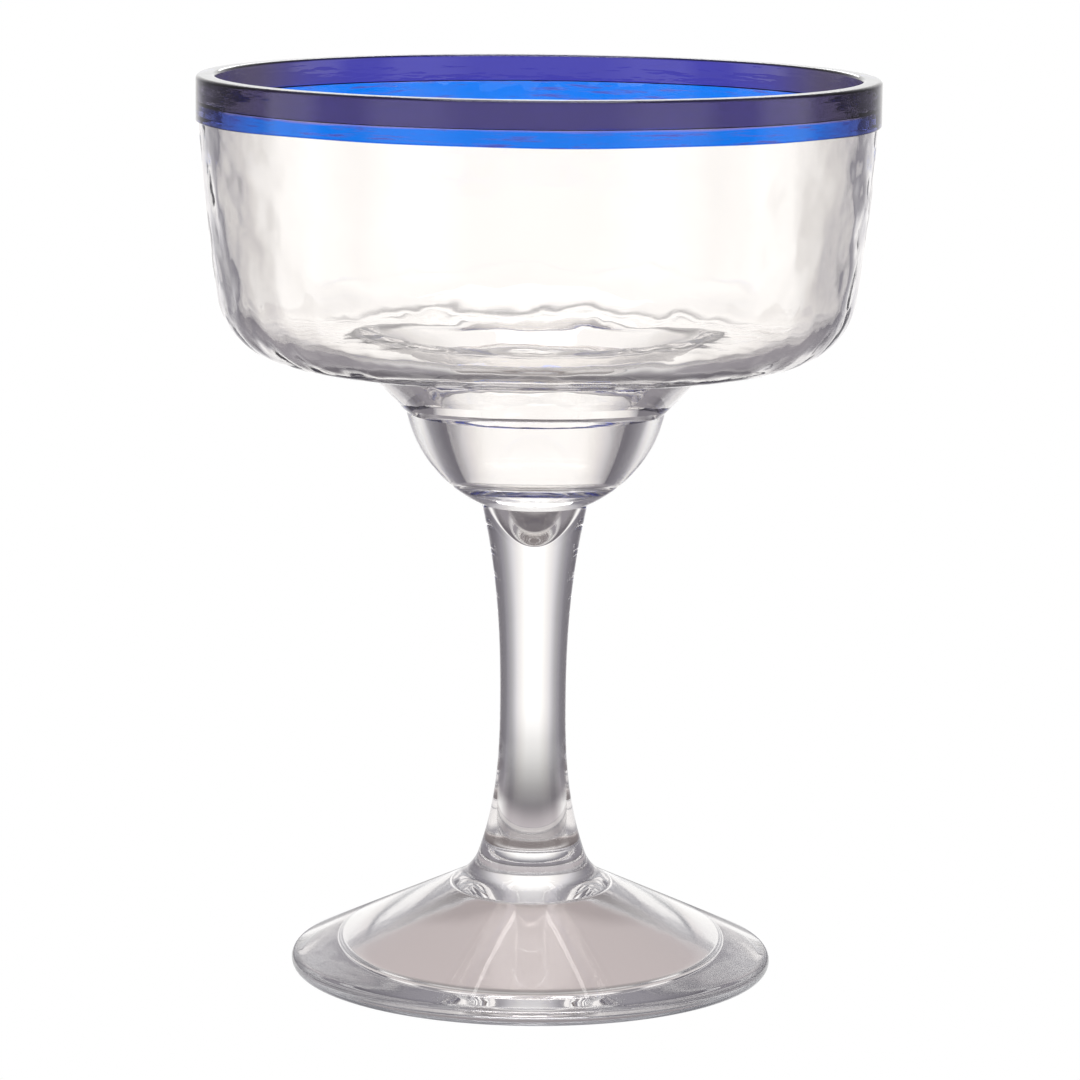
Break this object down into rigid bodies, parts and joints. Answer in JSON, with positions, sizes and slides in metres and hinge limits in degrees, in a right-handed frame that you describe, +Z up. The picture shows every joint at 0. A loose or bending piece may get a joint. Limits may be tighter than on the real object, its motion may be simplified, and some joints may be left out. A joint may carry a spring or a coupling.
{
  "type": "margarita glass",
  "caption": "Stemmed margarita glass: wide straight-sided bowl stepping down to a small round well, cobalt-blue lip band, waisted solid stem and hollow sloping foot.",
  "frame": {"origin": "on the axis of the glass, in the plane that the foot rests on", "axes": "+Z up the axis to the lip; X and Y are any two level directions"},
  "size_m": [0.118, 0.118, 0.1571],
  "materials": {
    "clear_foot": "polished clear acrylic",
    "clear_stem": "polished clear acrylic",
    "clear_well": "polished clear acrylic",
    "clear_bowl": "hammered clear acrylic, polished",
    "blue_band": "polished cobalt-blue acrylic"
  },
  "bodies": {
    "root": {"foot": "clear_foot", "stem": "clear_stem", "well": "clear_well", "bowl": "clear_bowl", "rim_band": "blue_band"}
  },
  "joints": []
}
